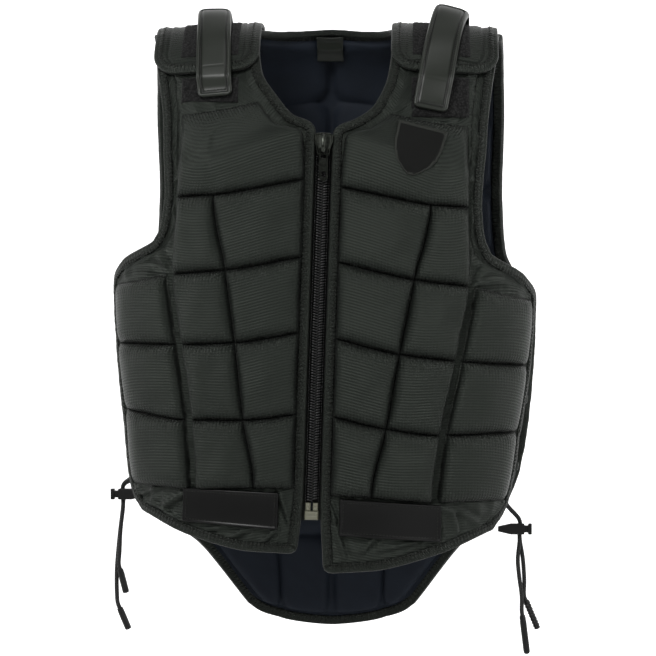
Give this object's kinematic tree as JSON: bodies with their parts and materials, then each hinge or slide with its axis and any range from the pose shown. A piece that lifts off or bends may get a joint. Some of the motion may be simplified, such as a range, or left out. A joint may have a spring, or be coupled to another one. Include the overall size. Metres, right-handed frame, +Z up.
{
  "type": "equestrian protective vest",
  "caption": "Padded riding vest with quilted foam blocks, front zip, hook-and-loop shoulder tabs, laced sides with cord locks, and a long back tail.",
  "frame": {"origin": "middle of the line along the shoulders, where the wearer carries the vest", "axes": "+Z up, front faces -Y, +X is the wearer's left"},
  "size_m": [0.399, 0.2338, 0.603],
  "materials": {
    "nylon": "ribbed black nylon over foam blocks, with a faint grey-green sheen",
    "lining": "matt dark navy lining cloth",
    "tape": "matt black binding tape",
    "fuzz": "black hook-and-loop pile",
    "rubber": "smooth black moulded rubber with a soft shine",
    "metal": "worn grey metal",
    "plastic": "moulded black plastic",
    "coil": "black nylon zip coil",
    "cord": "black braided cord"
  },
  "bodies": {
    "vest": {"back_binding": "tape", "back_lining": "lining", "back_panel": "nylon", "chest_badge": "tape", "cord_end_left_long": "cord", "cord_end_left_short": "cord", "cord_end_right_long": "cord", "cord_end_right_short": "cord", "cord_lock_left": "plastic", "cord_lock_right": "plastic", "cord_tip_left_long": "plastic", "cord_tip_left_short": "plastic", "cord_tip_right_long": "plastic", "cord_tip_right_short": "plastic", "flap_binding_left": "tape", "flap_binding_right": "tape", "flap_patch_left": "fuzz", "flap_patch_right": "fuzz", "front_binding_left": "tape", "front_binding_right": "tape", "front_panel_left": "nylon", "front_panel_right": "nylon", "front_patch_left": "fuzz", "front_patch_right": "fuzz", "hem_label_left": "rubber", "hem_label_right": "rubber", "lace_loop_back_left_1": "tape", "lace_loop_back_left_2": "tape", "lace_loop_back_left_3": "tape", "lace_loop_back_right_1": "tape", "lace_loop_back_right_2": "tape", "lace_loop_back_right_3": "tape", "lace_loop_front_left_1": "tape", "lace_loop_front_left_2": "tape", "lace_loop_front_left_3": "tape", "lace_loop_front_right_1": "tape", "lace_loop_front_right_2": "tape", "lace_loop_front_right_3": "tape", "neck_tag": "tape", "shoulder_flap_left": "nylon", "shoulder_flap_right": "nylon", "shoulder_strap_left": "rubber", "shoulder_strap_right": "rubber", "side_lace_left": "cord", "side_lace_right": "cord", "zip_box": "metal", "zip_chain": "coil", "zip_slider": "metal", "zip_tape_left": "tape", "zip_tape_right": "tape"},
    "zip_pull": {"zip_pull": "metal"},
    "lock_plunger_left": {"lock_plunger_left": "plastic"},
    "lock_plunger_right": {"lock_plunger_right": "plastic"}
  },
  "joints": [
    {"name": "zip_pull_swing", "type": "hinge", "parent": "vest", "child": "zip_pull", "pos_m": [0, -0.10935, -0.10806], "axis": [-1, 0, 0], "range_deg": [0, 140]},
    {"name": "lock_press_left", "type": "slide", "parent": "vest", "child": "lock_plunger_left", "axis": [-1, 0, 0], "range_m": [0, 0.003], "stiffness_N_per_m": 400, "springref_m": -0.003},
    {"name": "lock_press_right", "type": "slide", "parent": "vest", "child": "lock_plunger_right", "axis": [1, 0, 0], "range_m": [0, 0.003], "stiffness_N_per_m": 400, "springref_m": -0.003}
  ]
}
